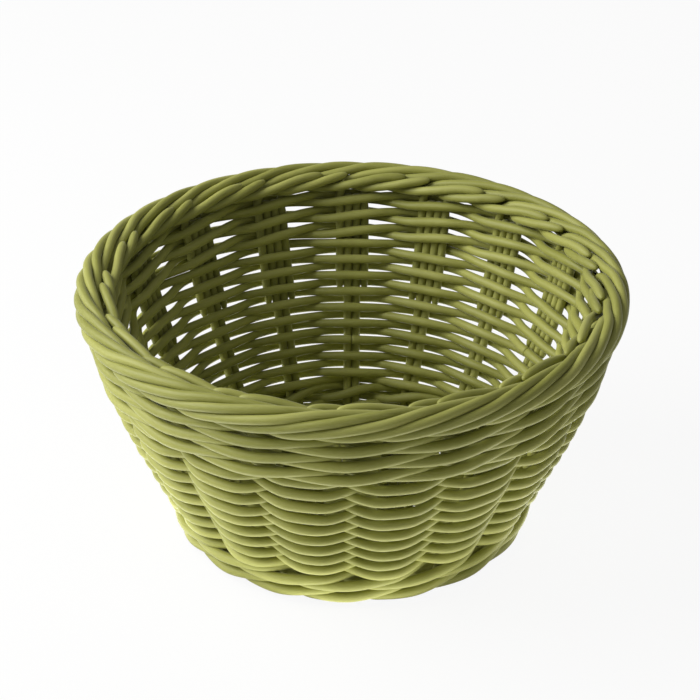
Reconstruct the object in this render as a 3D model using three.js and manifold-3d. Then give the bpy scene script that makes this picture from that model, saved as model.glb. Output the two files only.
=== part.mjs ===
// Round woven basket of plastic strands: flared wall, rolled border, flat woven base.
// Millimetres, +Z up. The axis is Z and the basket stands on z = 0. The back is +Y.

import * as THREE from 'three';
import Module from 'manifold-3d';
import { mergeVertices } from 'three/addons/utils/BufferGeometryUtils.js';

// Strand
const STRAND = 3.5; // diameter of every strand
const CLEARANCE = 0.3; // free space between strands that lie against each other
const PAIR_WAIST = 1.4; // thickness along the line where the two strands of a pair meet

// Layout of the weave
const PAIRS_PER_ARM = 4; // stake pairs in each of the four arms of the base cross
const WALL_ROWS = 18; // rows of plain weave on the wall
const TOP_WALES = 3; // rope-like rounds under the border
const BOTTOM_WALES = 2; // rope-like rounds at the foot
const LINED_ROWS = 7; // upper wall rows that hold the border rods beside the stakes
const BASE_ROWS = 6; // rows of plain weave on the base
const START_GROUP = 14; // group of stakes where the weaver begins and each row climbs
const FLOAT_MARGIN = 0.6; // how far a float runs past the last stake before it bends
const WALE_SWELL = 0.6; // how far a wale bulges where it crosses from low to high

// Wall profile, along the stakes' centre line
const FOOT_RADIUS = 67.8; // where the wall leaves the foot
const LEAN = THREE.MathUtils.degToRad(23.8); // outward lean of the straight lower wall
const STRAIGHT_WALL = 50; // length of the straight lower wall, up the slope
const BELLY_RADIUS = 262; // arc that turns the upper wall upright

// Base
const BASE_RISE = 0.8; // free height under the base weave
const CROSS_MARGIN = 2.3; // how far the crossed pairs run straight past each other
const SPOKE_BEND = 12.5; // length over which a pair turns into its spoke
const ADDED_PAIR_START = 26; // inner end of the one pair that doesn't cross the centre
const FOOT_TWIST = 0.35; // how far the wall stands round from its spokes, in groups

// Lengths of strand
const WEAVER_SPAN = 44; // groups that one length of wall weaver passes
const BASE_WEAVER_SPAN = 68; // groups that one length of base weaver passes

// Places in the stack of strands, in strand pitches
const WALE_ABOVE_FOOT = 1.8; // middle of the lowest round, up the slope
const BASE_WEAVE_INSIDE_FOOT = 1.8; // last base row, inwards from the foot
const STAKE_END = 0.4; // tops of the stakes, above the middle of the last round
const ROD_LEAVES_WALL = 0.6; // where the border rods bend, above that same middle

// Sizes that follow
const STEP = STRAND + CLEARANCE; // pitch of strands that lie against each other
const WALE_STEP = 2 * STEP; // pitch of the rounds, two strands high
const GROUPS = 4 * PAIRS_PER_ARM + 1; // an odd count, so that one weaver alternates
const GROUP_ANGLE = (2 * Math.PI) / GROUPS;
const PAIR_WIDTH = STEP + STRAND;
const LOWEST_WALE = WALE_ABOVE_FOOT * STEP;
const FIRST_ROW = LOWEST_WALE + WALE_STEP * (BOTTOM_WALES - 1) + 1.5 * STEP;
const LAST_ROW = FIRST_ROW + STEP * (WALL_ROWS - 1);
const FIRST_TOP_WALE = LAST_ROW + 1.5 * STEP;
const LAST_TOP_WALE = FIRST_TOP_WALE + WALE_STEP * (TOP_WALES - 1);
const STAKE_TOP = LAST_TOP_WALE + STAKE_END * STEP;
const ROD_START = LAST_ROW - STEP * (LINED_ROWS - 0.5);
const ROD_BEND = LAST_TOP_WALE + ROD_LEAVES_WALL * STEP;
const FOOT_CUT = STRAND / 10; // depth of the flat worn on the underside of the foot
const FOOT_HEIGHT = STRAND / 2 - FOOT_CUT;
const BASE_HEIGHT = BASE_RISE + STEP + STRAND / 2; // centre of the spokes
const LAST_BASE_ROW = FOOT_RADIUS - BASE_WEAVE_INSIDE_FOOT * STEP;
const FIRST_BASE_ROW = LAST_BASE_ROW - STEP * (BASE_ROWS - 1);
const BASE_EDGE = LAST_BASE_ROW + STRAND / 2;
const CROSS_REACH = PAIRS_PER_ARM * STEP + CROSS_MARGIN;
const SPOKE_START = CROSS_REACH + SPOKE_BEND;

// Bend of a stake pair from its spoke to the wall, as shares of the way round to the
// wall's own angle, of the way out to the foot and of the way down to the ground.
const FOOT_BEND = [
  [0.35, 0.35, 0.6],
  [0.6, 0.7, 1],
  [1, 0.95, 1],
];
const CLIMB_START = 1.2; // first point of the wall, up the slope in strand pitches

// Route of a border rod round the roll: groups travelled, how far the group's two rods
// stand to each side of it in groups, and distance out and up from the roll's centre in
// strand pitches. A rod rises inside, rolls over the top and down the outside, dives
// under between two groups and climbs the inside to its tip. The group's second rod is
// cut one row short.
const ROLL_ROUTE = [
  [0.1, 0.185, -0.56, -0.22],
  [0.3, 0.246, -0.42, 0.82],
  [0.6, 0.253, -0.23, 1.6],
  [1, 0.245, 0.72, 1.6],
  [1.5, 0.258, 1.25, 0.71],
  [2, 0.256, 1.25, -0.3],
  [2.35, 0.219, 1.13, -1.14],
  [2.65, 0.256, 0.3, -1.2],
  [2.95, 0.203, -1.46, -0.71],
  [3.25, 0.262, -2.02, -0.15],
  [3.6, 0.27, -1.61, 0.59],
  [3.87, 0.289, -1.38, 0.77],
];
const ROLL_OUT = 0.77; // roll's centre out from the rod's bend, in strand pitches
const ROLL_UP = 1.87; // roll's centre up from the rod's bend, in strand pitches

const olive = new THREE.Color(0x8f9445);
const plastic = new THREE.MeshStandardMaterial({ color: olive, roughness: 0.6, metalness: 0 });

const MERGE_DISTANCE = 1e-5; // corners closer than this are one corner

const wasm = await Module();
wasm.setup();

// Point of the wall's profile: the distance up the slope, and out from the stakes.
function wallProfile(up, out = 0) {
  const straight = Math.min(up, STRAIGHT_WALL);
  const angle = LEAN - Math.max(up - STRAIGHT_WALL, 0) / BELLY_RADIUS;
  const sin = Math.sin(angle);
  const cos = Math.cos(angle);
  const bellyOut = BELLY_RADIUS * (cos - Math.cos(LEAN));
  const bellyUp = BELLY_RADIUS * (Math.sin(LEAN) - sin);
  return {
    radius: FOOT_RADIUS + straight * Math.sin(LEAN) + bellyOut + out * cos,
    height: STRAND / 2 + straight * Math.cos(LEAN) + bellyUp - out * sin,
  };
}

// Point at an angle clockwise from the back, shifted sideways along the tangent.
function polar(angle, radius, height, sideways = 0) {
  const sin = Math.sin(angle);
  const cos = Math.cos(angle);
  return new THREE.Vector3(
    radius * sin + sideways * cos,
    radius * cos - sideways * sin,
    height,
  );
}

// Point on the wall, placed from the middle of a group of stakes.
function onWall(group, up, out, sideways) {
  const { radius, height } = wallProfile(up, out);
  return polar(group * GROUP_ANGLE, radius, height, sideways);
}

// Regular section of a strand, as points about its centre, with one corner facing out.
function strandSection(sides) {
  const corner = (i) => {
    const angle = Math.PI * (0.5 + (2 * i) / sides);
    return [(STRAND / 2) * Math.cos(angle), (STRAND / 2) * Math.sin(angle)];
  };
  return Array.from({ length: sides }, (_, i) => corner(i));
}

// Section of two strands lying side by side and touching along a narrow waist.
function pairSection() {
  const half = STEP / 2;
  const round = STRAND / 2;
  const outline = [[half + round, 0], [half, round], [0, PAIR_WAIST / 2], [-half, round]];
  return [...outline, ...outline.map(([x, y]) => [-x, -y])];
}

// Solid swept along points. Each ring stands in the plane that halves its bend, with
// the section's second axis towards the face direction given for that point.
function sweep(points, faces, section, closed = false) {
  const count = points.length;
  const positions = [];
  points.forEach((point, i) => {
    const before = points[closed ? (i + count - 1) % count : Math.max(i - 1, 0)];
    const after = points[closed ? (i + 1) % count : Math.min(i + 1, count - 1)];
    const inward = point.clone().sub(before).normalize();
    const outward = after.clone().sub(point).normalize();
    const along = inward.add(outward).normalize();
    const across = new THREE.Vector3().crossVectors(faces[i], along).normalize();
    const facing = new THREE.Vector3().crossVectors(along, across);
    for (const [x, y] of section) {
      const corner = point.clone().addScaledVector(across, x).addScaledVector(facing, y);
      positions.push(corner.x, corner.y, corner.z);
    }
  });
  const sides = section.length;
  const triangles = [];
  for (let ring = 0; ring < (closed ? count : count - 1); ring += 1) {
    const next = (ring + 1) % count;
    for (let side = 0; side < sides; side += 1) {
      const a = ring * sides + side;
      const b = ring * sides + ((side + 1) % sides);
      const c = next * sides + side;
      const d = next * sides + ((side + 1) % sides);
      triangles.push(a, b, d, a, d, c);
    }
  }
  if (!closed) {
    const last = (count - 1) * sides;
    const outline = section.map(([x, y]) => new THREE.Vector2(x, y));
    for (const [a, b, c] of THREE.ShapeUtils.triangulateShape(outline, [])) {
      triangles.push(a, c, b, last + a, last + b, last + c);
    }
  }
  const geometry = new THREE.BufferGeometry();
  geometry.setAttribute('position', new THREE.Float32BufferAttribute(positions, 3));
  geometry.setIndex(triangles);
  return geometry;
}

// Half the width of a float: it spans the stakes and the border rods beside them.
function floatReach(up) {
  const rodsBeside = up > ROD_START - STEP ? STEP : 0;
  return PAIR_WIDTH / 2 + rodsBeside + FLOAT_MARGIN;
}

// Direction that faces out of the wall at a point.
function awayFromAxis(point) {
  return new THREE.Vector3(point.x, point.y, 0).normalize();
}

// Plain weave: one strand passes a run of groups, in front of one and behind the next.
// The row rises by a step after the last group of each turn. A length of strand ends
// behind a group, where the next length begins.
function plainWeave(first, last, total, place) {
  const points = [];
  for (let i = first; i <= last; i += 1) {
    const row = Math.floor(i / GROUPS);
    const out = (i % 2 === 0 ? -1 : 1) * STEP;
    const cutIn = i === first && first > 0;
    const cutOut = i === last && last < total - 1;
    const group = (START_GROUP + i) % GROUPS;
    points.push(place(group, row, out, cutIn ? 'middle' : 'start'));
    points.push(place(group, row, out, cutOut ? 'middle' : 'end'));
  }
  return points;
}

// Sideways place of a float's end: at its reach, or cut near the group's middle.
function floatEnd(reach, end, isFirst) {
  if (end === 'middle') return isFirst ? CLEARANCE / 2 : -CLEARANCE / 2;
  return isFirst ? -reach : reach;
}

function wallWeaver(first, last) {
  const total = WALL_ROWS * GROUPS;
  let isFirst = false;
  const points = plainWeave(first, last, total, (group, row, out, end) => {
    isFirst = !isFirst;
    const up = FIRST_ROW + row * STEP;
    return onWall(group, up, out, floatEnd(floatReach(up), end, isFirst));
  });
  return sweep(points, points.map(awayFromAxis), strandSection(4));
}

function baseWeaver(first, last) {
  const total = BASE_ROWS * GROUPS;
  const reach = PAIR_WIDTH / 2 + FLOAT_MARGIN;
  let isFirst = false;
  const points = plainWeave(first, last, total, (group, row, out, end) => {
    isFirst = !isFirst;
    const radius = FIRST_BASE_ROW + row * STEP;
    const angle = (group - FOOT_TWIST) * GROUP_ANGLE;
    return polar(angle, radius, BASE_HEIGHT + out, floatEnd(reach, end, isFirst));
  });
  const upward = points.map(() => new THREE.Vector3(0, 0, 1));
  return sweep(points, upward, strandSection(3));
}

// Three-rod wale: one endless strand goes three times round. It passes in front of two
// groups, climbing from the lower to the upper place, and then behind one.
function wale(middle) {
  const high = STEP / 2;
  const passes = [
    { arrives: [STEP, -high], leaves: [STEP + WALE_SWELL, -high] },
    { arrives: [STEP + WALE_SWELL, high], leaves: [STEP, high] },
    { arrives: [-STEP, high], leaves: [-STEP, -high] },
  ];
  const reach = floatReach(middle);
  const points = [];
  for (let i = 0; i < 3 * GROUPS; i += 1) {
    const { arrives, leaves } = passes[i % 3];
    const group = GROUPS - (i % GROUPS);
    points.push(onWall(group, middle + arrives[1], arrives[0], reach));
    points.push(onWall(group, middle + leaves[1], leaves[0], -reach));
  }
  return sweep(points, points.map(awayFromAxis), strandSection(4), true);
}

// Half of a stake pair, from the centre of the base out to its top. The cross angle is
// the way its arm points, and the offset is its place across the arm.
function stakeHalf(group, crossAngle, offset, layer) {
  const spoke = (group - FOOT_TWIST) * GROUP_ANGLE;
  const points = [];
  if (crossAngle !== null) {
    points.push(polar(crossAngle, CROSS_REACH, BASE_HEIGHT + layer, offset));
    points.push(polar(spoke, SPOKE_START, BASE_HEIGHT));
  } else {
    points.push(polar(spoke, ADDED_PAIR_START, BASE_HEIGHT));
  }
  points.push(polar(spoke, BASE_EDGE, BASE_HEIGHT));
  for (const [turned, outward, dropped] of FOOT_BEND) {
    const angle = spoke + turned * FOOT_TWIST * GROUP_ANGLE;
    const radius = THREE.MathUtils.lerp(BASE_EDGE, FOOT_RADIUS, outward);
    points.push(polar(angle, radius, THREE.MathUtils.lerp(BASE_HEIGHT, FOOT_HEIGHT, dropped)));
  }
  const belly = (STRAIGHT_WALL + STAKE_TOP) / 2;
  const rise = [CLIMB_START * STEP, STRAIGHT_WALL, belly, STAKE_TOP];
  points.push(...rise.map((up) => onWall(group, up, 0, 0)));
  return points;
}

// Faces of a half: up on the base, turning inwards where the strand climbs the wall.
function stakeFaces(points) {
  return points.map((point, i) => {
    const before = points[Math.max(i - 1, 0)];
    const after = points[Math.min(i + 1, points.length - 1)];
    const along = after.clone().sub(before);
    const side = new THREE.Vector3(point.y, -point.x, 0);
    return new THREE.Vector3().crossVectors(side, along).normalize();
  });
}

// Trims a solid flat where it stands on the ground.
function standFlat(geometry) {
  const depth = STRAND;
  const wide = 4 * FOOT_RADIUS;
  const box = new THREE.BoxGeometry(wide, wide, depth).translate(0, 0, -depth / 2);
  const [solid, ground] = [geometry, box].map((piece) => {
    piece.deleteAttribute('normal');
    piece.deleteAttribute('uv');
    const merged = mergeVertices(piece, MERGE_DISTANCE);
    return new wasm.Manifold(new wasm.Mesh({
      numProp: 3,
      vertProperties: new Float32Array(merged.attributes.position.array),
      triVerts: new Uint32Array(merged.index.array),
    }));
  });
  const { vertProperties, triVerts } = solid.subtract(ground).getMesh();
  const trimmed = new THREE.BufferGeometry();
  trimmed.setAttribute('position', new THREE.BufferAttribute(vertProperties, 3));
  trimmed.setIndex(new THREE.BufferAttribute(triVerts, 1));
  return trimmed;
}

function stakePair(route) {
  return standFlat(sweep(route, stakeFaces(route), pairSection()));
}

// A pair that crosses the base and climbs the wall on both sides of it.
function crossingPair(arm, place) {
  const near = arm * PAIRS_PER_ARM + place;
  const far = (arm + 3) * PAIRS_PER_ARM - 1 - place;
  const middle = (n) => (n * PAIRS_PER_ARM + (PAIRS_PER_ARM - 1) / 2 - FOOT_TWIST) * GROUP_ANGLE;
  const crossAngle = (middle(arm) + middle(arm + 2) - Math.PI) / 2;
  const offset = (place - (PAIRS_PER_ARM - 1) / 2) * 2 * STEP;
  const layer = (arm === 0 ? -1 : 1) * (STEP / 2);
  const one = stakeHalf(near, crossAngle, offset, layer);
  const other = stakeHalf(far, crossAngle + Math.PI, -offset, layer);
  const route = [...one.reverse(), ...other];
  const faces = [...stakeFaces(one), ...stakeFaces(other)];
  faces.forEach((face, i) => face.multiplyScalar(i < one.length ? -1 : 1));
  return standFlat(sweep(route, faces, pairSection()));
}

// Border rod: up the wall beside its stakes, then round the roll to its cut tip.
function borderRod(group, side) {
  const rise = [0, 0.5, 1].map((t) => ROD_START + t * (ROD_BEND - ROD_START));
  const points = rise.map((up) => onWall(group, up, 0, side * 1.5 * STEP));
  const bend = wallProfile(ROD_BEND);
  const centre = { radius: bend.radius + ROLL_OUT * STEP, height: bend.height + ROLL_UP * STEP };
  const route = side > 0 ? ROLL_ROUTE.slice(0, -1) : ROLL_ROUTE;
  for (const [travelled, spread, out, up] of route) {
    const angle = (group + side * spread + travelled) * GROUP_ANGLE;
    points.push(polar(angle, centre.radius + out * STEP, centre.height + up * STEP));
  }
  return sweep(points, points.map(awayFromAxis), strandSection(4));
}

const basket = new THREE.Group();

function addPiece(name, geometry) {
  const flat = geometry.toNonIndexed();
  flat.computeVertexNormals();
  const mesh = new THREE.Mesh(flat, plastic);
  mesh.name = name;
  basket.add(mesh);
}

function twoDigits(number) {
  return String(number).padStart(2, '0');
}

// Lengths of a weaver, one after another. Each passes a span, as an even number of
// groups, and a rest shorter than half a span is shared with the length before it.
function addLengths(name, total, span, build) {
  const passes = 2 * Math.round(span / 2);
  const starts = [];
  for (let first = 0; first < total - 1; first += passes) starts.push(first);
  const last = starts.length - 1;
  const rest = total - starts[last];
  if (last > 0 && rest < passes / 2) {
    starts[last] = starts[last - 1] + 2 * Math.ceil((passes + rest) / 4);
  }
  starts.forEach((first, n) => {
    addPiece(`${name}_${n + 1}`, build(first, starts[n + 1] ?? total - 1));
  });
}

for (const arm of [0, 1]) {
  for (let place = 0; place < PAIRS_PER_ARM; place += 1) {
    addPiece(`stake_pair_${arm * PAIRS_PER_ARM + place + 1}`, crossingPair(arm, place));
  }
}
addPiece(`stake_pair_${2 * PAIRS_PER_ARM + 1}`, stakePair(stakeHalf(GROUPS - 1, null, 0, 0)));
addLengths('base_weaver', BASE_ROWS * GROUPS, BASE_WEAVER_SPAN, baseWeaver);
for (let n = 0; n < BOTTOM_WALES; n += 1) {
  addPiece(`bottom_wale_${n + 1}`, wale(LOWEST_WALE + WALE_STEP * n));
}
addLengths('wall_weaver', WALL_ROWS * GROUPS, WEAVER_SPAN, wallWeaver);
for (let n = 0; n < TOP_WALES; n += 1) {
  addPiece(`top_wale_${n + 1}`, wale(FIRST_TOP_WALE + WALE_STEP * n));
}
for (let group = 0; group < GROUPS; group += 1) {
  addPiece(`border_rod_${twoDigits(2 * group + 1)}`, borderRod(group, -1));
  addPiece(`border_rod_${twoDigits(2 * group + 2)}`, borderRod(group, 1));
}

export default basket;
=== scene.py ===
"""Round basket woven from olive plastic strands, with a rolled border and a flat base.

Lengths are metres and +Z is up. The basket's axis is Z, it stands on z = 0, and its back is +Y.
Angles round the basket run clockwise from the back, seen from above, and are often counted in
groups: one group is the angle from one group of stakes to the next.
"""

import logging
import math
from dataclasses import dataclass, field
from enum import Enum, IntEnum
from typing import Optional, Sequence, Union

import bpy
import numpy as np
from mathutils import Matrix, Vector


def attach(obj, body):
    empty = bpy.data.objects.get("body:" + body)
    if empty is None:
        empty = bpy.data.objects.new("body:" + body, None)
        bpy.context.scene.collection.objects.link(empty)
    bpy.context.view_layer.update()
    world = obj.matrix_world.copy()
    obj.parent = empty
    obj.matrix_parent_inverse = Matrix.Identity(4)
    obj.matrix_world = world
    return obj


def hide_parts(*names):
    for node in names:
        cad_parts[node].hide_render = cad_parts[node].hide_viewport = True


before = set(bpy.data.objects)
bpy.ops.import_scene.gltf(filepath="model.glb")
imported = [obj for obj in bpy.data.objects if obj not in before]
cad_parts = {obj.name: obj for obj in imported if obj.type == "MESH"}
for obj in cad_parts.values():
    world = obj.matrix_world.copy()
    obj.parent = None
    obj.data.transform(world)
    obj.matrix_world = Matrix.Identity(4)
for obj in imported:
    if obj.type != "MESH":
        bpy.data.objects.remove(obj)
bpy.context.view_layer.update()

log = logging.getLogger("basket")

BODY = "root"
UV_MAP = "UVMap"
TONE = "tone"
WHITE = (1.0, 1.0, 1.0, 1.0)
MM = 0.001

Points = np.ndarray
Number = Union[float, np.ndarray]


class Side(Enum):
    """Side of the wall that a float lies on."""

    INSIDE = -1
    OUTSIDE = 1


class Face(Enum):
    """Face of the base that a float lies on."""

    BELOW = -1
    ABOVE = 1


class Hand(Enum):
    """Place of a strand in its pair or group, seen from the basket's axis."""

    LEFT = -1
    RIGHT = 1


class Seed(IntEnum):
    """Starts of the random draws, to which a strand adds its own number."""

    WALL_OUT = 7
    WALL_UP = 8
    BASE_OUT = 11
    WALL_WEAVER = 100
    STAKE = 200
    ADDED_STAKE = 250
    FOOT_WALE = 300
    TOP_WALE = 320
    BASE_WEAVER = 400
    BORDER_ROD = 500


class Tip(Enum):
    """How the end of a strand is cut: distances from the end and thicknesses there, as shares
    of the strand's radius and thickness."""

    SQUARE = ((0.0, 0.88), (0.14, 1.0))
    POINTED = ((0.0, 0.2), (0.15, 0.38), (0.5, 0.6), (1.1, 0.8), (2.0, 0.94), (3.0, 1.0))


@dataclass(frozen=True)
class Strand:
    """One round plastic strand.

    Attributes:
        diameter: Thickness that the weave is laid out for.
        clearance: Free space that the layout leaves between strands.
        pressed: Thickness where strands press against each other.
        full: Thickness where a strand bows free.
        spacing: Distance between the rings of its mesh.
        bevel_steps: Bevel resolution, which gives 2 * bevel_steps + 4 sides.
    """

    diameter: float = 3.5 * MM
    clearance: float = 0.3 * MM
    pressed: float = 3.8 * MM
    full: float = 4.25 * MM
    spacing: float = 1.7 * MM
    bevel_steps: int = 6

    @property
    def radius(self) -> float:
        """Half the diameter."""
        return self.diameter / 2

    @property
    def pitch(self) -> float:
        """Distance between strands that lie against each other."""
        return self.diameter + self.clearance

    def line(self, points: Points, bowed: Number = 0.0) -> Points:
        """Centre line with thicknesses as a fourth column, from 0 bowed where it is pressed."""
        thickness = self.pressed + (self.full - self.pressed) * np.asarray(bowed, float)
        return np.column_stack([points, np.broadcast_to(thickness, len(points))])


@dataclass(frozen=True)
class Layout:
    """Counts of the weave, and where its parts lie up the wall and along the base.

    Attributes:
        pairs_per_arm: Stake pairs in each arm of the base cross.
        wall_rows: Rows of plain weave on the wall.
        top_wales: Rope-like rounds under the border.
        bottom_wales: Rope-like rounds at the foot.
        lined_rows: Upper wall rows that hold the border rods beside the stakes.
        base_rows: Rows of plain weave on the base.
        start_group: Group of stakes where each row climbs.
        weaver_span: Groups that one length of wall weaver passes.
        base_weaver_span: Groups that one length of base weaver passes.
        beside_wale: From a round's middle to the next row of plain weave, in pitches.
        wale_above_foot: Middle of the lowest round, in pitches up the slope.
        stake_end: Tops of the stakes above the middle of the last round, in pitches.
        rod_leaves_wall: Where the border rods bend, above that same middle, in pitches.
        foot_twist: How far the wall stands round from its spokes, in groups.
    """

    strand: Strand = Strand()
    pairs_per_arm: int = 4
    wall_rows: int = 18
    top_wales: int = 3
    bottom_wales: int = 2
    lined_rows: int = 7
    base_rows: int = 6
    start_group: int = 14
    weaver_span: int = 44
    base_weaver_span: int = 68
    beside_wale: float = 1.5
    wale_above_foot: float = 1.8
    stake_end: float = 0.4
    rod_leaves_wall: float = 0.6
    foot_twist: float = 0.35

    @property
    def groups(self) -> int:
        """Groups of stakes, an odd count so that one weaver alternates."""
        return 4 * self.pairs_per_arm + 1

    @property
    def group_angle(self) -> float:
        """Angle from one group of stakes to the next."""
        return 2 * math.pi / self.groups

    @property
    def wale_pitch(self) -> float:
        """Pitch of the rounds, two strands high."""
        return 2 * self.strand.pitch

    @property
    def lowest_wale(self) -> float:
        """Middle of the lowest round, up the slope."""
        return self.wale_above_foot * self.strand.pitch

    @property
    def first_row(self) -> float:
        """Lowest row of plain weave, up the slope."""
        last_below = self.lowest_wale + self.wale_pitch * (self.bottom_wales - 1)
        return last_below + self.beside_wale * self.strand.pitch

    @property
    def last_row(self) -> float:
        """Highest row of plain weave, up the slope."""
        return self.first_row + self.strand.pitch * (self.wall_rows - 1)

    @property
    def first_top_wale(self) -> float:
        """Middle of the lowest round under the border, up the slope."""
        return self.last_row + self.beside_wale * self.strand.pitch

    @property
    def last_top_wale(self) -> float:
        """Middle of the highest round under the border, up the slope."""
        return self.first_top_wale + self.wale_pitch * (self.top_wales - 1)

    @property
    def stake_top(self) -> float:
        """Tops of the stakes, up the slope."""
        return self.last_top_wale + self.stake_end * self.strand.pitch

    @property
    def rod_start(self) -> float:
        """Lower ends of the border rods, up the slope."""
        return self.last_row - self.strand.pitch * (self.lined_rows - 0.5)

    @property
    def rod_bend(self) -> float:
        """Where the border rods bend away from the wall, up the slope."""
        return self.last_top_wale + self.rod_leaves_wall * self.strand.pitch


def polar(angle: Number, radius: Number, height: Number, sideways: Number = 0.0) -> Points:
    """Points at an angle clockwise from the back, shifted sideways along the tangent.

    Args:
        angle: Angles in radians.
        radius: Distances from the axis.
        height: Heights above the ground.
        sideways: Shifts along the tangent, clockwise.

    Returns:
        The points, one a row.
    """
    angle, radius, height, sideways = np.broadcast_arrays(angle, radius, height, sideways)
    sin, cos = np.sin(angle), np.cos(angle)
    x = radius * sin + sideways * cos
    y = radius * cos - sideways * sin
    return np.stack([x, y, height], axis=-1).astype(float)


@dataclass(frozen=True)
class Wall:
    """Profile of the wall along the stakes' centre line.

    Attributes:
        foot_radius: Where the wall leaves the foot.
        lean: Outward lean of the straight lower wall.
        straight: Length of the straight lower wall, up the slope.
        belly_radius: Arc that turns the upper wall upright.
    """

    layout: Layout = Layout()
    foot_radius: float = 67.8 * MM
    lean: float = math.radians(23.8)
    straight: float = 50 * MM
    belly_radius: float = 262 * MM

    def profile(self, up: Number, out: Number = 0.0) -> tuple[Number, Number]:
        """Radius and height of a place on the wall.

        Args:
            up: Distances up the slope.
            out: Distances out from the stakes, square to the wall.

        Returns:
            The radii and the heights.
        """
        straight = np.minimum(up, self.straight)
        angle = self.lean - np.maximum(up - self.straight, 0) / self.belly_radius
        belly_out = self.belly_radius * (np.cos(angle) - math.cos(self.lean))
        belly_up = self.belly_radius * (math.sin(self.lean) - np.sin(angle))
        radius = self.foot_radius + straight * math.sin(self.lean) + belly_out + out * np.cos(angle)
        rise = straight * math.cos(self.lean) + belly_up - out * np.sin(angle)
        return radius, self.layout.strand.radius + rise

    def place(self, group: Number, up: Number, out: Number = 0.0, sideways: Number = 0.0) -> Points:
        """Points at groups, whole or not, and distances up the slope, out and sideways."""
        radius, height = self.profile(np.asarray(up, float), out)
        return polar(np.asarray(group, float) * self.layout.group_angle, radius, height, sideways)


def smooth_step(low: float, high: float, value: Number) -> Number:
    """0 below low, 1 above high, and a smooth rise between them."""
    share = np.clip((np.asarray(value, float) - low) / (high - low), 0, 1)
    return share * share * (3 - 2 * share)


def hump(start: float, top: float, end: float, value: Number) -> Number:
    """0 at start, 1 at top and 0 again at end, smooth between them."""
    return smooth_step(start, top, value) * (1 - smooth_step(top, end, value))


def between(first: Points, last: Points, low: float, high: float, value: np.ndarray) -> Points:
    """Points on the straight run from first, where value is low, to last, where it is high."""
    return (high - value) / (high - low) * first + (value - low) / (high - low) * last


def curve_through(keys: Points, spacing: float, steps: int = 24) -> Points:
    """Even points on a smooth curve through key points.

    Args:
        keys: The key points, in order.
        spacing: About how far apart the even points are.
        steps: Points worked out from one key point to the next.

    Returns:
        The even points, the first and the last key among them.
    """
    before, after = 2 * keys[0] - keys[1], 2 * keys[-1] - keys[-2]
    padded = np.vstack([before, keys, after])
    apart = np.sqrt(np.linalg.norm(np.diff(padded[:, :3], axis=0), axis=1))
    knots = np.concatenate([[0], np.cumsum(apart)])
    pieces = []
    for i in range(1, len(padded) - 2):
        near, knot = padded[i - 1 : i + 3], knots[i - 1 : i + 3]
        at = np.linspace(knot[1], knot[2], steps, endpoint=False)[:, None]
        runs = [between(near[j], near[j + 1], knot[j], knot[j + 1], at) for j in range(3)]
        bends = [between(runs[j], runs[j + 1], knot[j], knot[j + 2], at) for j in range(2)]
        pieces.append(between(bends[0], bends[1], knot[1], knot[2], at))
    return even_points(np.vstack([*pieces, keys[-1:]]), spacing)


def run_of(line: Points) -> np.ndarray:
    """Distance along a line from its start to each of its points."""
    return np.concatenate([[0], np.cumsum(np.linalg.norm(np.diff(line[:, :3], axis=0), axis=1))])


def points_at(line: Points, wanted: np.ndarray) -> Points:
    """Points, and whatever goes with them, at wanted distances along a line."""
    run = run_of(line)
    return np.stack([np.interp(wanted, run, column) for column in line.T], axis=1)


def even_points(line: Points, spacing: float, least: int = 3) -> Points:
    """Points set evenly along a line.

    Args:
        line: The line's own points, close together.
        spacing: About how far apart the even points are.
        least: Fewest points that a short line gets.

    Returns:
        The even points, both ends among them.
    """
    length = run_of(line)[-1]
    count = max(least, round(length / spacing) + 1)
    return points_at(line, np.linspace(0, length, count))


def cut_ends(line: Points, tip: Tip, room: float = 0.4) -> Points:
    """Shapes both ends of an open strand.

    Args:
        line: Centre line with thicknesses.
        tip: How the ends are cut.
        room: Least run from a tip's last ring to the next one, in radii.

    Returns:
        The line with more points at its ends, thinner there.
    """
    run, radius = run_of(line), line[0, 3] / 2
    places, shares = np.array(tip.value).T
    kept = radius * (places[-1] + room)
    inner = run[(run > kept) & (run < run[-1] - kept)]
    wanted = np.concatenate([places * radius, inner, run[-1] - places[::-1] * radius])
    cut = points_at(line, wanted)
    cut[: len(shares), 3] *= shares
    cut[-len(shares) :, 3] *= shares[::-1]
    return cut


@dataclass(frozen=True)
class Unevenness:
    """Slow wander that a strand has from being woven by hand.

    Attributes:
        size: How far the strand strays.
        waves: Sines that are added up.
        shortest: Length of the shortest wave, in groups.
        longest: Length of the longest wave, in groups.
    """

    size: float = 0.13 * MM
    waves: int = 6
    shortest: float = 0.7
    longest: float = 6.0

    def along(self, travelled: np.ndarray, seed: int) -> np.ndarray:
        """Distances strayed.

        Args:
            travelled: Groups travelled along the strand.
            seed: Picks this strand's own wander.

        Returns:
            One distance for each place.
        """
        rng = np.random.default_rng(seed)
        lengths = self.shortest * (self.longest / self.shortest) ** rng.random(self.waves)
        turns = rng.random(self.waves)
        phases = travelled[:, None] / lengths + turns
        return self.size * np.sin(2 * math.pi * phases).sum(axis=1) / math.sqrt(self.waves)


def tone_of(seed: int) -> float:
    """How light a strand is, from 0 to 1, picked by its seed."""
    return float(np.random.default_rng(seed).random())


def float_height(away: Number, hold: Number) -> Number:
    """Share of its full height that a float has: 1 over its stakes, 0 midway to the next group.

    Args:
        away: Distance from the middle of the group, in groups.
        hold: Half the width of what the float lies over, in groups.

    Returns:
        The share.
    """
    fall = np.clip((away - hold) / (0.5 - hold), 0, 1)
    return np.cos(fall * math.pi / 2)


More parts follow.
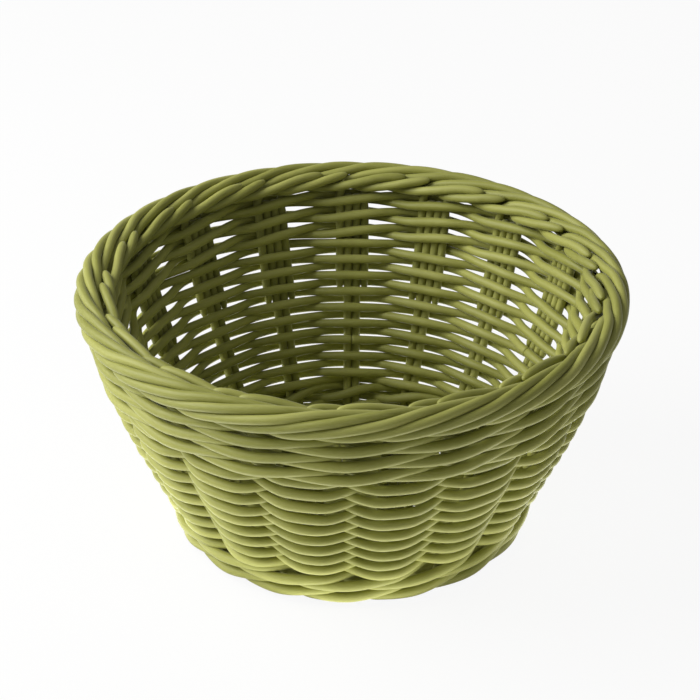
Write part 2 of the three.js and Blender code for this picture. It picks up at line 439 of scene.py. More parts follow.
class Signal:
    """A shader socket that takes part in Python arithmetic, adding Math nodes as it goes."""

    def __init__(self, tree: bpy.types.NodeTree, socket: bpy.types.NodeSocket) -> None:
        """Wraps an output socket of a node tree."""
        self.tree = tree
        self.socket = socket

    def _math(self, operation: str, *values: Union["Signal", float]) -> "Signal":
        """Adds one Math node.

        Args:
            operation: The node's operation.
            values: Its inputs, in order.

        Returns:
            The node's result.
        """
        node = self.tree.nodes.new("ShaderNodeMath")
        node.operation = operation
        for socket, value in zip(node.inputs, values):
            if isinstance(value, Signal):
                self.tree.links.new(value.socket, socket)
            else:
                socket.default_value = value
        return Signal(self.tree, node.outputs[0])

    def __add__(self, other: Union["Signal", float]) -> "Signal":
        """Sum."""
        return self._math("ADD", self, other)

    def __radd__(self, other: float) -> "Signal":
        """Sum, reflected."""
        return self._math("ADD", other, self)

    def __mul__(self, other: Union["Signal", float]) -> "Signal":
        """Product."""
        return self._math("MULTIPLY", self, other)

    def __rmul__(self, other: float) -> "Signal":
        """Product, reflected."""
        return self._math("MULTIPLY", other, self)

    def wave(self) -> tuple["Signal", "Signal"]:
        """Cosine and sine of this share of a full turn."""
        angle = self * (2 * math.pi)
        return self._math("COSINE", angle), self._math("SINE", angle)

    def or_else(self, other: "Signal") -> "Signal":
        """The larger of two values, such as two flags."""
        return self._math("MAXIMUM", self, other)

    def clamped(self) -> "Signal":
        """This value kept between 0 and 1."""
        return self._math("MINIMUM", self._math("MAXIMUM", self, 0.0), 1.0)


def mixed(signals: Sequence[Signal], shares: Sequence[float]) -> Signal:
    """Adds up signals in given shares.

    Args:
        signals: The signals.
        shares: A share for each of them, and last what is added to their sum.

    Returns:
        The sum.
    """
    total = signals[0] * shares[0]
    for signal, share in zip(signals[1:], shares[1:]):
        total = total + signal * share
    return total + shares[-1]


def socket_of(sockets: Sequence[bpy.types.NodeSocket], key: str) -> bpy.types.NodeSocket:
    """The socket with an identifier, which is written with _ for a space."""
    return next(socket for socket in sockets if socket.identifier.replace(" ", "_") == key)


class Shader:
    """The nodes that make a material or the world."""

    def __init__(self, owner: Union[bpy.types.Material, bpy.types.World]) -> None:
        """Starts with an empty tree.

        Args:
            owner: The material or the world.
        """
        owner.use_nodes = True
        self.tree = owner.node_tree
        self.tree.nodes.clear()

    def node(
        self,
        kind: str,
        settings: Optional[dict[str, object]] = None,
        stops: Sequence[tuple[float, Sequence[float]]] = (),
        **inputs: object,
    ) -> bpy.types.Node:
        """Adds a node, its settings first and then the values or links of its sockets.

        Args:
            kind: The node's type.
            settings: Properties to set before the sockets.
            stops: Places and colours of a colour ramp.
            inputs: Identifiers of sockets, and their values or signals.

        Returns:
            The node.
        """
        node = self.tree.nodes.new(kind)
        for key, value in (settings or {}).items():
            setattr(node, key, value)
        for i, (place, colour) in enumerate(stops):
            elements = node.color_ramp.elements
            element = elements[i] if i < len(elements) else elements.new(place)
            element.position = place
            element.color = (*colour, 1.0)
        for key, value in inputs.items():
            socket = socket_of(node.inputs, key)
            if isinstance(value, Signal):
                self.tree.links.new(value.socket, socket)
            else:
                socket.default_value = value
        return node

    def signal(self, node: bpy.types.Node, output: str) -> Signal:
        """One of a node's outputs, as a signal."""
        return Signal(self.tree, socket_of(node.outputs, output))

    def blend(self, share: Signal, under: Signal, over: Sequence[float]) -> Signal:
        """Mixes a plain colour over a changing one.

        Args:
            share: How much of the plain colour shows.
            under: The changing colour.
            over: The plain colour.

        Returns:
            The mixed colour.
        """
        mix = self.node(
            "ShaderNodeMix",
            {"data_type": "RGBA"},
            Factor_Float=share,
            A_Color=under,
            B_Color=(*over, 1.0),
        )
        return self.signal(mix, "Result_Color")


@dataclass(frozen=True)
class Pattern:
    """Noise that is drawn out along a strand.

    Attributes:
        along: Features along one strand circumference.
        across: Features across the strand's radius.
        detail: Detail of the noise.
    """

    along: float
    across: float
    detail: float


@dataclass(frozen=True)
class PlasticFinish:
    """Matt plastic strand, coloured all through and drawn out of a round die.

    Attributes:
        shade: Colour of the darker stretches.
        light: Colour of the lighter stretches.
        dust: Colour of the pale bloom on the surface.
        lines: Fine lines that the die leaves.
        patches: Soft patches, longer than they are wide.
        grain: Fine grain.
        tone_shift: How far the patterns move along from the darkest strand to the lightest.
        colour_mix: Shares of tone, patches and lines in how light a place is, and what is added.
        colour_ends: Where on that scale the darker and the lighter colour are reached.
        bloom_mix: Shares of patches and grain in the bloom, and what is added.
        bloom_cover: Factor from that to how much of the colour the bloom covers.
        rough_mix: Shares of patches and grain in the roughness, and what is added.
        rough_spread: How far the roughness goes up and down.
        roughness: Roughness of a plain stretch.
        refraction: Refractive index.
        bloom_sheen: Strength of the soft sheen that the bloom gives at grazing angles.
        sheen_roughness: Roughness of that sheen.
        line_depth: Depth of the lines.
        grain_depth: Depth of the grain.
    """

    shade: tuple[float, float, float] = (0.262, 0.270, 0.046)
    light: tuple[float, float, float] = (0.405, 0.410, 0.094)
    dust: tuple[float, float, float] = (0.50, 0.50, 0.19)
    lines: Pattern = Pattern(along=0.06, across=7.0, detail=3.0)
    patches: Pattern = Pattern(along=0.09, across=0.6, detail=3.0)
    grain: Pattern = Pattern(along=3.2, across=5.0, detail=2.0)
    tone_shift: float = 37.0
    colour_mix: tuple[float, ...] = (0.62, 0.5, 0.36, -0.33)
    colour_ends: tuple[float, float] = (0.05, 0.95)
    bloom_mix: tuple[float, ...] = (0.6, 0.7, -0.55)
    bloom_cover: float = 0.9
    rough_mix: tuple[float, ...] = (0.6, 0.4, -0.5)
    rough_spread: float = 0.32
    roughness: float = 0.56
    refraction: float = 1.46
    bloom_sheen: float = 0.22
    sheen_roughness: float = 0.3
    line_depth: float = 0.045 * MM
    grain_depth: float = 0.012 * MM

    def material(self) -> bpy.types.Material:
        """Makes the material.

        Returns:
            The material, patterned along and round each strand by its UV map.
        """
        material = bpy.data.materials.new("olive_plastic")
        shader = Shader(material)
        uv = shader.signal(shader.node("ShaderNodeUVMap", {"uv_map": UV_MAP}), "UV")
        parts = shader.node("ShaderNodeSeparateXYZ", Vector=uv)
        run, around = shader.signal(parts, "X"), shader.signal(parts, "Y")
        tone = shader.signal(shader.node("ShaderNodeAttribute", {"attribute_name": TONE}), "Fac")
        cos, sin = around.wave()

        def noise(pattern: Pattern) -> Signal:
            """Noise of a pattern, about 0 to 1.

            Args:
                pattern: The pattern.

            Returns:
                The noise, moved along by the strand's tone.
            """
            place = shader.node(
                "ShaderNodeCombineXYZ",
                X=cos * pattern.across,
                Y=sin * pattern.across,
                Z=run * pattern.along + tone * self.tone_shift,
            )
            vector = shader.signal(place, "Vector")
            texture = shader.node(
                "ShaderNodeTexNoise", Vector=vector, Scale=1.0, Detail=pattern.detail
            )
            return shader.signal(texture, "Fac")

        lines, patches, grain = noise(self.lines), noise(self.patches), noise(self.grain)
        lightness = mixed((tone, patches, lines), self.colour_mix).clamped()
        stops = tuple(zip(self.colour_ends, (self.shade, self.light)))
        ramp = shader.node("ShaderNodeValToRGB", stops=stops, Fac=lightness)
        bloom = (mixed((patches, grain), self.bloom_mix) * self.bloom_cover).clamped()
        colour = shader.blend(bloom, shader.signal(ramp, "Color"), self.dust)
        rough = mixed((patches, grain), self.rough_mix) * self.rough_spread + self.roughness
        lined = shader.node("ShaderNodeBump", Height=lines, Distance=self.line_depth, Strength=1.0)
        bump = shader.node(
            "ShaderNodeBump",
            Height=grain,
            Distance=self.grain_depth,
            Strength=1.0,
            Normal=shader.signal(lined, "Normal"),
        )
        surface = shader.node(
            "ShaderNodeBsdfPrincipled",
            Base_Color=colour,
            Roughness=rough,
            Normal=shader.signal(bump, "Normal"),
            IOR=self.refraction,
            Sheen_Weight=self.bloom_sheen,
            Sheen_Roughness=self.sheen_roughness,
        )
        shader.node("ShaderNodeOutputMaterial", Surface=shader.signal(surface, "BSDF"))
        return material


@dataclass
class StrandMaker:
    """Draws strands as bevelled curves and turns them into finished meshes.

    Attributes:
        strand: The strand's sizes.
        finish: The strands' material.
        weld: Distance under which points of a mesh are merged.
        sharp: Angle from which an edge stays sharp.
        made: The pieces made so far.
    """

    strand: Strand
    finish: bpy.types.Material
    weld: float = 0.01 * MM
    sharp: float = math.radians(50)
    made: list[bpy.types.Object] = field(default_factory=list)

    def make(
        self,
        node: str,
        lines: Sequence[Points],
        tones: Sequence[float],
        closed: bool = False,
        tip: Tip = Tip.SQUARE,
    ) -> None:
        """Makes the strands that stand for one solid.

        Args:
            node: Name of the solid.
            lines: Centre lines of the strands with thicknesses, as even points.
            tones: How light each strand is, from 0 to 1.
            closed: Whether the strands are endless.
            tip: How open ends are cut.
        """
        pieces = [self._tube(node, line, tone, closed, tip) for line, tone in zip(lines, tones)]
        bpy.ops.object.select_all(action="DESELECT")
        for piece in pieces:
            piece.select_set(True)
        bpy.context.view_layer.objects.active = pieces[0]
        if len(pieces) > 1:
            bpy.ops.object.join()
        piece = bpy.context.view_layer.objects.active
        piece.name = f"{node}_strand"
        piece.data.name = piece.name
        piece.data.materials.clear()
        piece.data.materials.append(self.finish)
        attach(piece, BODY)
        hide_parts(node)
        self.made.append(piece)
        faces = len(piece.data.polygons)
        log.info("%s: %d strand(s), %d faces", piece.name, len(lines), faces)

    def _tube(
        self, name: str, line: Points, tone: float, closed: bool, tip: Tip
    ) -> bpy.types.Object:
        """One strand as a closed mesh, with its UV map and its tone.

        Args:
            name: Name for the curve.
            line: Centre line with thicknesses, as even points.
            tone: How light the strand is.
            closed: Whether it is endless.
            tip: How open ends are cut.

        Returns:
            The mesh object.
        """
        if not closed:
            line = cut_ends(line, tip)
        curve = bpy.data.curves.new(name, "CURVE")
        curve.dimensions = "3D"
        curve.bevel_depth = self.strand.radius
        curve.bevel_resolution = self.strand.bevel_steps
        curve.use_fill_caps = not closed
        spline = curve.splines.new("POLY")
        spline.points.add(len(line) - 1)
        spline.points.foreach_set("co", np.column_stack([line[:, :3], np.ones(len(line))]).ravel())
        spline.points.foreach_set("radius", line[:, 3] / self.strand.diameter)
        spline.use_cyclic_u = closed
        spline.use_smooth = True
        tube = bpy.data.objects.new(name, curve)
        bpy.context.scene.collection.objects.link(tube)
        bpy.ops.object.select_all(action="DESELECT")
        tube.select_set(True)
        bpy.context.view_layer.objects.active = tube
        bpy.ops.object.convert(target="MESH")
        tube = bpy.context.view_layer.objects.active
        bpy.ops.object.mode_set(mode="EDIT")
        bpy.ops.mesh.select_all(action="SELECT")
        bpy.ops.mesh.remove_doubles(threshold=self.weld)
        bpy.ops.object.mode_set(mode="OBJECT")
        bpy.ops.object.shade_smooth_by_angle(angle=self.sharp)
        self._map_along(tube.data, line)
        values = tube.data.attributes.new(TONE, "FLOAT", "POINT")
        values.data.foreach_set("value", np.full(len(tube.data.vertices), tone))
        return tube

    def _map_along(self, mesh: bpy.types.Mesh, line: Points) -> None:
        """Makes the UV map run along the strand in strand circumferences.

        Args:
            mesh: The strand's mesh.
            line: Its centre line.
        """
        length = run_of(line)[-1]
        layer = mesh.uv_layers[0]
        layer.name = UV_MAP
        flat = np.empty(2 * len(mesh.loops), np.float32)
        layer.data.foreach_get("uv", flat)
        flat[0::2] *= length / (math.pi * self.strand.diameter)
        layer.data.foreach_set("uv", flat)


@dataclass
class PlainWeave:
    """A weaver in plain weave, made as lengths that follow each other.

    Attributes:
        samples: Points worked out for each group passed.
        overrun: How far its two ends run past the last group that they pass.
        climb: Half the width of the stretch where a row climbs, in groups.
        uneven: How unevenly it is woven.
    """

    wall: Wall
    maker: StrandMaker
    samples: int = 24
    overrun: float = 0.42
    climb: float = 0.42
    uneven: Unevenness = Unevenness()

    def _lengths(self, name: str, rows: int, span: int, seed: int) -> None:
        """Makes every length of the weaver.

        Args:
            name: Name of its solids, without their numbers.
            rows: Rows that it weaves.
            span: Groups that one length passes.
            seed: Picks the tones of its lengths.
        """
        total = rows * self.wall.layout.groups
        for n, first in enumerate(range(0, total - 1, span), start=1):
            last = min(first + span, total - 1)
            lead = self.overrun if first == 0 else -self._half_gap(first)
            tail = self.overrun if last == total - 1 else -self._half_gap(last)
            travelled = np.linspace(first - lead, last + tail, (last - first) * self.samples)
            line = even_points(self._path(travelled), self.wall.layout.strand.spacing)
            self.maker.make(f"{name}_{n}", [line], [tone_of(seed + n)])

    def _row(self, travelled: np.ndarray, rows: int) -> np.ndarray:
        """Rows that the weaver is in. It climbs a row where each turn starts.

        Args:
            travelled: Groups travelled along the whole weaver.
            rows: Rows that it weaves.

        Returns:
            The rows from 0, with the climbs between them.
        """
        groups = self.wall.layout.groups
        turn = np.floor((travelled + 0.5) / groups)
        into = travelled - turn * groups
        start, end = -0.5 - self.climb, -0.5 + self.climb
        row = turn - 1 + smooth_step(start, end, into) + smooth_step(start, end, into - groups)
        return np.clip(row, 0, rows - 1)

    def _half_gap(self, travelled: int) -> float:
        """Half the gap where two lengths meet, in groups."""
        raise NotImplementedError

    def _path(self, travelled: np.ndarray) -> Points:
        """Centre line with thicknesses, at groups travelled along the whole weaver."""
        raise NotImplementedError


@dataclass
class WallWeave(PlainWeave):
    """The weaver of the wall, in plain weave round the stakes.

    Attributes:
        bow: How much further out a float stands over the middle of its stakes, as a share.
    """

    bow: float = 0.07

    def build(self) -> None:
        """Makes every length of the weaver."""
        layout = self.wall.layout
        self._lengths("wall_weaver", layout.wall_rows, layout.weaver_span, Seed.WALL_WEAVER)

    def _half_gap(self, travelled: int) -> float:
        """Half the gap where two lengths meet, in groups.

        Args:
            travelled: Group where they meet, counted along the whole weaver.

        Returns:
            The half gap.
        """
        layout = self.wall.layout
        up = layout.first_row + (travelled // layout.groups) * layout.strand.pitch
        width = float(self.wall.profile(up)[0]) * layout.group_angle
        return layout.strand.clearance / (2 * width)

    def _path(self, travelled: np.ndarray) -> Points:
        """Centre line of the weaver.

        Args:
            travelled: Groups travelled along the whole weaver.

        Returns:
            The points and thicknesses.
        """
        layout, strand = self.wall.layout, self.wall.layout.strand
        nearest = np.rint(travelled)
        sign = np.where(nearest % 2 == 0, Side.INSIDE.value, Side.OUTSIDE.value)
        up = layout.first_row + self._row(travelled, layout.wall_rows) * strand.pitch
        lined = smooth_step(layout.rod_start - strand.pitch, layout.rod_start, up)
        width = self.wall.profile(up)[0] * layout.group_angle
        hold = (0.5 + lined) * strand.pitch / width
        away = np.abs(travelled - nearest)
        bowed = np.cos(away * math.pi) ** 2
        out = float_height(away, hold) * (1 + self.bow * bowed)
        out = sign * out * strand.pitch + self.uneven.along(travelled, Seed.WALL_OUT)
        up = up + self.uneven.along(travelled, Seed.WALL_UP)
        return strand.line(self.wall.place(layout.start_group + travelled, up, out), bowed)


@dataclass(frozen=True)
class FloatShape:
    """How the floats of a wale lie.

    Attributes:
        pairs: Pairs of strands that its floats lie over.
        swell: How far a float bulges out between its ends.
        sag: How far it sags there, in pitches.
        climb: How far it climbs from its start to its end, in pitches.
    """

    pairs: int
    swell: float
    sag: float
    climb: float


@dataclass
class Wales:
    """Rope-like rounds, each of one endless strand that runs anticlockwise, before two groups
    and behind one.

    Attributes:
        samples: Points worked out for each group passed.
        before: Groups that a float passes outside.
        behind: Groups that the strand then passes inside.
        lowest: How the floats lie in the lowest round.
        foot: How they lie in the other round at the foot.
        top: How they lie under the border.
        free_outside: Where a float leaves its stakes, is freest and comes back, in groups.
        free_inside: The same for the pass inside.
        rising: Where the strand climbs, in groups.
        falling: Where it comes down again.
        fullness: How much more a float fills out between its ends than a plain one.
        uneven: How unevenly a round is woven.
    """

    wall: Wall
    maker: StrandMaker
    samples: int = 24
    before: int = 2
    behind: int = 1
    lowest: FloatShape = FloatShape(pairs=1, swell=1.7 * MM, sag=0.12, climb=1.3)
    foot: FloatShape = FloatShape(pairs=1, swell=1.3 * MM, sag=0.0, climb=1.3)
    top: FloatShape = FloatShape(pairs=2, swell=1.8 * MM, sag=0.4, climb=0.9)
    free_outside: tuple[float, float, float] = (0.2, 1.0, 1.8)
    free_inside: tuple[float, float, float] = (2.1, 2.5, 2.9)
    rising: tuple[float, float] = (0.1, 1.9)
    falling: tuple[float, float] = (2.05, 2.95)
    fullness: float = 1.5
    uneven: Unevenness = Unevenness(size=0.1 * MM)

    def build(self) -> None:
        """Makes the rounds at the foot and under the border."""
        layout = self.wall.layout
        for n in range(layout.bottom_wales):
            middle = layout.lowest_wale + n * layout.wale_pitch
            shape = self.foot if n else self.lowest
            self._round(f"bottom_wale_{n + 1}", middle, shape, Seed.FOOT_WALE + n)
        for n in range(layout.top_wales):
            middle = layout.first_top_wale + n * layout.wale_pitch
            self._round(f"top_wale_{n + 1}", middle, self.top, Seed.TOP_WALE + n)

    def _round(self, node: str, middle: float, shape: FloatShape, seed: int) -> None:
        """Makes one round.

        Args:
            node: Name of its solid.
            middle: Middle of the round, up the slope.
            shape: How its floats lie.
            seed: Picks its unevenness and its tone.
        """
        layout, strand = self.wall.layout, self.wall.layout.strand
        times = self.before + self.behind
        travelled = np.arange(times * layout.groups * self.samples + 1) / self.samples
        into = (travelled + 0.5) % times
        width = self.wall.profile(middle)[0] * layout.group_angle
        hold = (shape.pairs - 0.5) * strand.pitch / width
        inside = into > self.before
        past = np.maximum(0.5 - into, into - (self.before - 0.5))
        away = np.where(inside, np.abs(into - (self.before + 0.5)), past)
        sign = np.where(inside, Side.INSIDE.value, Side.OUTSIDE.value)
        out = float_height(np.maximum(away, 0), hold) * sign * strand.pitch
        bowed = hump(*self.free_outside, into)
        rise = smooth_step(*self.rising, into) - smooth_step(*self.falling, into)
        fade = np.sin(math.pi * travelled / (times * layout.groups)) ** 2
        wander = fade * self.uneven.along(travelled, seed)
        up = middle + (shape.climb * (rise - 0.5) - shape.sag * bowed) * strand.pitch + wander
        place = self.wall.place(-travelled, up, out + bowed * shape.swell)
        free = np.maximum(bowed, hump(*self.free_inside, into))
        line = even_points(strand.line(place, self.fullness * free), strand.spacing)[:-1]
        self.maker.make(node, [line], [tone_of(seed)], closed=True)


@dataclass
class Base(PlainWeave):
    """The flat base: the stakes' spokes and a weaver round them.

    Attributes:
        gap: Half the gap where two lengths of its weaver meet, in groups.
        rise: Free height under the base weave.
        inside_foot: Last base row, inwards from the foot, in pitches.
    """

    overrun: float = 0.2
    climb: float = 0.4
    gap: float = 0.01
    rise: float = 0.8 * MM
    inside_foot: float = 1.8

    @property
    def height(self) -> float:
        """Height of the spokes' centre line."""
        return self.rise + self.wall.layout.strand.pitch + self.wall.layout.strand.radius

    @property
    def last_row(self) -> float:
        """Radius of the outermost base row."""
        return self.wall.foot_radius - self.inside_foot * self.wall.layout.strand.pitch

    @property
    def edge(self) -> float:
        """Radius where the base weave ends and the stakes bend."""
        return self.last_row + self.wall.layout.strand.radius

    def spoke_angle(self, group: float) -> float:
        """Angle of the spoke that belongs to a group of the wall."""
        return (group - self.wall.layout.foot_twist) * self.wall.layout.group_angle

    def build(self) -> None:
        """Makes every length of the weaver."""
        layout = self.wall.layout
        self._lengths("base_weaver", layout.base_rows, layout.base_weaver_span, Seed.BASE_WEAVER)

    def _half_gap(self, travelled: int) -> float:
        """Half the gap where two lengths meet, the same in every row."""
        return self.gap

    def _path(self, travelled: np.ndarray) -> Points:
        """Centre line of the weaver.

        Args:
            travelled: Groups travelled along the whole weaver.

        Returns:
            The points and thicknesses.
        """
        layout, strand = self.wall.layout, self.wall.layout.strand
        nearest = np.rint(travelled)
        sign = np.where(nearest % 2 == 0, Face.BELOW.value, Face.ABOVE.value)
        first_row = self.last_row - (layout.base_rows - 1) * strand.pitch
        radius = first_row + self._row(travelled, layout.base_rows) * strand.pitch
        radius = radius + self.uneven.along(travelled, Seed.BASE_OUT)
        hold = 0.5 * strand.pitch / (radius * layout.group_angle)
        lift = float_height(np.abs(travelled - nearest), hold) * sign * strand.pitch
        angle = (layout.start_group + travelled - layout.foot_twist) * layout.group_angle
        return strand.line(polar(angle, radius, self.height + lift))


@dataclass
class Stakes:
    """The stake pairs: up one side, across the base and up the other side.

    Attributes:
        cross_margin: How far the crossed pairs run straight past each other.
        spoke_bend: Length over which a pair turns into its spoke.
        added_pair_start: Inner end of the one pair that doesn't cross the centre.
        foot_bend: Bend at the foot, as shares of the way round to the wall's own angle, of the
            way out to the foot and of the way down to the ground.
        climb_start: First key point of the wall, up the slope in pitches.
        key_spacing: Distance between key points on the straight runs.
        cross_keys: Key points of each half where it crosses the others.
        cross_start: First of them, as a share of that run.
    """

    wall: Wall
    base: Base
    maker: StrandMaker
    cross_margin: float = 2.3 * MM
    spoke_bend: float = 12.5 * MM
    added_pair_start: float = 26 * MM
    foot_bend: tuple[tuple[float, float, float], ...] = (
        (0.35, 0.35, 0.6),
        (0.6, 0.7, 1.0),
        (1.0, 0.95, 1.0),
    )
    climb_start: float = 1.2
    key_spacing: float = 7 * MM
    cross_keys: int = 4
    cross_start: float = 0.125

    def build(self) -> None:
        """Makes the crossing pairs and the added pair."""
        layout = self.wall.layout
        per_arm = layout.pairs_per_arm
        for arm in (0, 1):
            for place in range(per_arm):
                number = arm * per_arm + place + 1
                halves = self._crossing(arm, place)
                self._pair(f"stake_pair_{number}", halves, Seed.STAKE + 2 * number)
        added = [self._half(layout.groups - 1, None, 0, 0)]
        self._pair(f"stake_pair_{2 * per_arm + 1}", added, Seed.ADDED_STAKE)

    def _pair(self, node: str, halves: Sequence[Points], seed: int) -> None:
        """Makes the two strands of a pair.

        Args:
            node: Name of the pair's solid.
            halves: Centre lines from the middle of the base out, one or two.
            seed: Picks the strands' tones.
        """
        strand = self.wall.layout.strand
        lines = []
        for hand in Hand:
            keys = self._beside(halves[-1], hand.value)
            if len(halves) == 2:
                keys = np.vstack([self._beside(halves[0], -hand.value)[::-1], keys])
            line = curve_through(strand.line(keys), strand.spacing)
            line[:, 2] = np.maximum(line[:, 2], line[:, 3] / 2)
            lines.append(line)
        self.maker.make(node, lines, [tone_of(seed), tone_of(seed + 1)])

    def _beside(self, centre: Points, side: int) -> Points:
        """Key points of one strand of a pair.

        Args:
            centre: Centre line of the pair.
            side: -1 for the strand on its left and 1 for the one on its right.

        Returns:
            The points, half a pitch to that side.
        """
        along = np.gradient(centre, axis=0)
        along /= np.linalg.norm(along, axis=1, keepdims=True)
        tangent = np.column_stack([centre[:, 1], -centre[:, 0], np.zeros(len(centre))])
        across = tangent - (tangent * along).sum(axis=1, keepdims=True) * along
        across /= np.linalg.norm(across, axis=1, keepdims=True)
        return centre + side * (self.wall.layout.strand.pitch / 2) * across

    def _crossing(self, arm: int, place: int) -> list[Points]:
        """Both halves of a pair that crosses the base.

        Args:
            arm: Which of the two arms it starts in.
            place: Its place across the arm.

        Returns:
            The two centre lines, each from the middle out.
        """
        layout = self.wall.layout
        per_arm = layout.pairs_per_arm
        middle = (per_arm - 1) / 2
        near, far = arm * per_arm + place, (arm + 3) * per_arm - 1 - place
        arms = [self.base.spoke_angle(n * per_arm + middle) for n in (arm, arm + 2)]
        angle = (sum(arms) - math.pi) / 2
        offset = (place - middle) * 2 * layout.strand.pitch
        layer = (-0.5 if arm == 0 else 0.5) * layout.strand.pitch
        return [
            self._half(near, angle, offset, layer),
            self._half(far, angle + math.pi, -offset, layer),
        ]

    def _half(self, group: int, angle: Optional[float], offset: float, layer: float) -> Points:
        """Centre line of half a pair, from the middle of the base to its top.

        Args:
            group: The wall's group that it climbs in.
            angle: Way that its arm points, or None for the added pair.
            offset: Its place across the arm.
            layer: Its height in the cross above or below the spokes.

        Returns:
            The key points.
        """
        layout, base = self.wall.layout, self.base
        spoke = base.spoke_angle(group)
        reach = layout.pairs_per_arm * layout.strand.pitch + self.cross_margin
        start = self.added_pair_start
        parts = []
        if angle is not None:
            start = reach + self.spoke_bend
            run = np.linspace(reach * self.cross_start, reach, self.cross_keys)
            parts.append(polar(angle, run, base.height + layer, offset))
        spokes = np.arange(start, base.edge - self.key_spacing / 2, self.key_spacing)
        parts.append(polar(spoke, np.append(spokes, base.edge), base.height))
        for turned, outward, dropped in self.foot_bend:
            radius = base.edge + outward * (self.wall.foot_radius - base.edge)
            height = base.height + dropped * (layout.strand.radius - base.height)
            way = spoke + turned * layout.foot_twist * layout.group_angle
            parts.append(polar([way], radius, height))
        lowest = self.climb_start * layout.strand.pitch
        climb = np.arange(lowest, layout.stake_top, self.key_spacing)
        parts.append(self.wall.place(group, np.append(climb[:-1], layout.stake_top)))
        return np.vstack(parts)


@dataclass
class Border:
    """The rolled border: rods rise beside the stakes and roll over the rim.

    Attributes:
        route: Route round the roll: groups travelled, how far the group's two rods stand to
            each side of it in groups, and pitches out and up from the roll's centre.
        left_tip: End of that route for the group's left rod.
        right_tip: End of it for the right rod, which stops sooner.
        roll_out: Roll's centre out from the rods' bend, in pitches.
        roll_up: Roll's centre up from the rods' bend, in pitches.
        beside: Each rod's place beside the middle of its group, in pitches.
        rise_keys: Key points on a rod's straight rise.
        filling: Where the rods fill out, in groups travelled.
        fullness: How full they then are, as a share of a free float.
    """

    wall: Wall
    maker: StrandMaker
    route: tuple[tuple[float, float, float, float], ...] = (
        (0.1, 0.175, -0.75, -0.44),
        (0.3, 0.255, -0.58, 0.14),
        (0.6, 0.276, -0.34, 0.72),
        (1.0, 0.227, 0.49, 1.1),
        (1.5, 0.276, 1.31, 0.47),
        (2.0, 0.24, 1.31, -0.56),
        (2.35, 0.233, 0.84, -1.21),
        (2.65, 0.306, 0.04, -1.12),
        (2.95, 0.212, -1.64, -0.71),
        (3.25, 0.245, -2.1, -0.05),
    )
    left_tip: tuple[tuple[float, float, float, float], ...] = (
        (3.62, 0.265, -1.72, 0.68),
        (3.93, 0.29, -1.1, 0.78),
    )
    right_tip: tuple[tuple[float, float, float, float], ...] = (
        (3.42, 0.262, -1.9, 0.4),
        (3.65, 0.285, -1.1, 0.76),
    )
    roll_out: float = 0.77
    roll_up: float = 1.87
    beside: float = 1.5
    rise_keys: int = 6
    filling: tuple[float, float] = (0.2, 0.8)
    fullness: float = 0.35

    def build(self) -> None:
        """Makes every rod."""
        strand = self.wall.layout.strand
        for group in range(self.wall.layout.groups):
            for number, hand in enumerate(Hand, start=2 * group + 1):
                node = f"border_rod_{number:02d}"
                line = curve_through(self._keys(group, hand), strand.spacing)
                tone = tone_of(Seed.BORDER_ROD + number)
                self.maker.make(node, [line], [tone], tip=Tip.POINTED)

    def _keys(self, group: int, hand: Hand) -> Points:
        """Key points of one rod.

        Args:
            group: The group it rises beside.
            hand: Its side of that group.

        Returns:
            The points and thicknesses, from its lower end to its tip.
        """
        layout, strand = self.wall.layout, self.wall.layout.strand
        half_row = 0.5 if self._is_lined_above(group) else -0.5
        start = layout.rod_start + half_row * strand.pitch
        climb = np.linspace(start, layout.rod_bend, self.rise_keys)
        rise = self.wall.place(group, climb, 0.0, hand.value * self.beside * strand.pitch)
        radius, height = self.wall.profile(layout.rod_bend)
        route = self.route + (self.left_tip if hand is Hand.LEFT else self.right_tip)
        travelled, spread, out, up = np.array(route).T
        angle = (group + hand.value * spread + travelled) * layout.group_angle
        centre_out = radius + self.roll_out * strand.pitch
        centre_up = height + self.roll_up * strand.pitch
        roll = polar(angle, centre_out + out * strand.pitch, centre_up + up * strand.pitch)
        filled = self.fullness * smooth_step(*self.filling, travelled)
        return np.vstack([strand.line(rise), strand.line(roll, filled)])

    def _is_lined_above(self, group: int) -> bool:
        """Whether the weaver covers a group from inside in the lowest row that has rods.

        Args:
            group: The group.

        Returns:
            True where its rods start above that row.
        """
        layout = self.wall.layout
        row = layout.wall_rows - layout.lined_rows
        return (row + (group - layout.start_group) % layout.groups) % 2 == 0


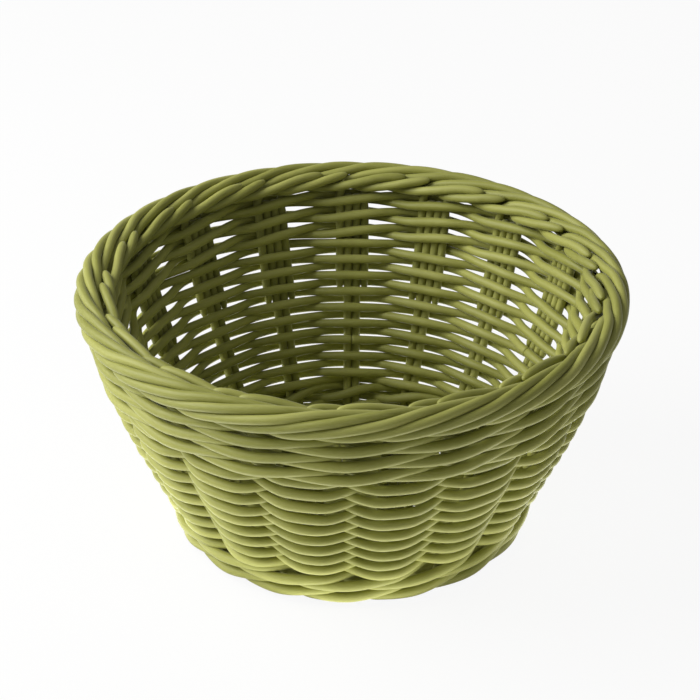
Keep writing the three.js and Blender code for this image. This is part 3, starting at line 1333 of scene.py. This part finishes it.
@dataclass
class Studio:
    """Pale floor, soft light and the camera at the photograph's angle.

    Attributes:
        aim_height: Height on the basket's axis that the camera looks at.
        distance: From the camera to that point.
        elevation: Camera's angle above the horizon.
        roll: Camera's turn about its own axis, in radians.
        lens: Focal length, in millimetres.
        shift: Sideways shift of the lens, as a share of the frame.
        sensor: Width of the sensor, in millimetres.
        floor_size: Width of the floor.
        floor_colour: Colour of the floor.
        floor_glow: How far the floor shows as plain white, which leaves its shadow in.
        sky_strength: Strength of the world as a light.
        key_place: Place of the main lamp.
        key_size: Width of that lamp.
        key_power: Its power.
        cards: Low lamps that light the basket from the floor round it.
        card_place: Place of the first of them.
        card_size: Length and width of each.
        card_power: Power of each.
    """

    aim_height: float = 79.3 * MM
    distance: float = 926.9 * MM
    elevation: float = math.radians(29.82)
    roll: float = 0.0056
    lens: float = 112.24
    shift: float = -0.0023
    sensor: float = 36.0
    floor_size: float = 6.0
    floor_colour: tuple[float, float, float] = (0.86, 0.86, 0.85)
    floor_glow: float = 0.92
    sky_strength: float = 0.24
    key_place: tuple[float, float, float] = (-0.83, 0.01, 0.68)
    key_size: float = 0.8
    key_power: float = 14.0
    cards: int = 4
    card_place: tuple[float, float, float] = (0.0, -0.105, 0.003)
    card_size: tuple[float, float] = (0.26, 0.06)
    card_power: float = 0.09

    def build(self) -> None:
        """Makes the floor, the world, the lamps and the camera."""
        self._floor()
        self._world()
        self._key()
        for number in range(self.cards):
            self._card(number)
        self._camera()
        bpy.context.scene.view_settings.view_transform = "Standard"

    def _floor(self) -> None:
        """Makes the floor, which shows white, also in the gloss, and keeps the shadow."""
        bpy.ops.object.select_all(action="DESELECT")
        bpy.ops.mesh.primitive_plane_add(size=self.floor_size, location=(0, 0, 0))
        floor = bpy.context.view_layer.objects.active
        floor.name = "floor"
        paint = bpy.data.materials.new("floor_white")
        shader = Shader(paint)
        path = shader.node("ShaderNodeLightPath")
        matt = shader.node("ShaderNodeBsdfDiffuse", Color=(*self.floor_colour, 1.0))
        glow = shader.node("ShaderNodeEmission", Color=WHITE, Strength=1.0)
        seen = shader.signal(path, "Is_Camera_Ray").or_else(shader.signal(path, "Is_Glossy_Ray"))
        both = shader.node(
            "ShaderNodeMixShader",
            Fac=seen * self.floor_glow,
            Shader=shader.signal(matt, "BSDF"),
            Shader_001=shader.signal(glow, "Emission"),
        )
        shader.node("ShaderNodeOutputMaterial", Surface=shader.signal(both, "Shader"))
        floor.data.materials.append(paint)

    def _world(self) -> None:
        """Makes a plain white world, dimmer as a light than as a background."""
        world = bpy.data.worlds.new("plain_studio")
        bpy.context.scene.world = world
        shader = Shader(world)
        seen = shader.signal(shader.node("ShaderNodeLightPath"), "Is_Camera_Ray")
        strength = seen * (1 - self.sky_strength) + self.sky_strength
        sky = shader.node("ShaderNodeBackground", Color=WHITE, Strength=strength)
        shader.node("ShaderNodeOutputWorld", Surface=shader.signal(sky, "Background"))

    def _key(self) -> None:
        """Makes the main lamp, a soft square that faces the basket."""
        data = bpy.data.lights.new("key_light", "AREA")
        data.size = self.key_size
        data.energy = self.key_power
        lamp = bpy.data.objects.new(data.name, data)
        bpy.context.scene.collection.objects.link(lamp)
        lamp.location = self.key_place
        aim = Vector((0, 0, self.aim_height)) - Vector(self.key_place)
        lamp.rotation_euler = aim.to_track_quat("-Z", "Y").to_euler()

    def _card(self, number: int) -> None:
        """Makes one of the low lamps, which face up.

        Args:
            number: Its number, from 0.
        """
        data = bpy.data.lights.new(f"floor_card_{number + 1}", "AREA")
        data.shape = "RECTANGLE"
        data.size, data.size_y = self.card_size
        data.energy = self.card_power
        card = bpy.data.objects.new(data.name, data)
        bpy.context.scene.collection.objects.link(card)
        turn = Matrix.Rotation(number * 2 * math.pi / self.cards, 4, "Z")
        place = Matrix.Translation(self.card_place) @ Matrix.Rotation(math.pi, 4, "X")
        card.matrix_world = turn @ place
        card.visible_camera = False

    def _camera(self) -> None:
        """Makes the camera."""
        data = bpy.data.cameras.new("camera")
        data.sensor_width = self.sensor
        data.lens = self.lens
        data.shift_x = self.shift
        camera = bpy.data.objects.new("camera", data)
        bpy.context.scene.collection.objects.link(camera)
        back = Vector((0, -math.cos(self.elevation), math.sin(self.elevation)))
        camera.location = Vector((0, 0, self.aim_height)) + back * self.distance
        turn = (-back).to_track_quat("-Z", "Y").to_matrix() @ Matrix.Rotation(self.roll, 3, "Z")
        camera.rotation_euler = turn.to_euler()
        bpy.context.scene.camera = camera


def main() -> None:
    """Builds the basket and its setting."""
    logging.basicConfig(level=logging.INFO, format="%(name)s: %(message)s")
    Studio().build()
    wall = Wall()
    maker = StrandMaker(wall.layout.strand, PlasticFinish().material())
    base = Base(wall, maker)
    stakes = Stakes(wall, base, maker)
    for part in (stakes, base, Wales(wall, maker), WallWeave(wall, maker), Border(wall, maker)):
        part.build()
    log.info("%d pieces made", len(maker.made))


if __name__ == "__main__":
    main()
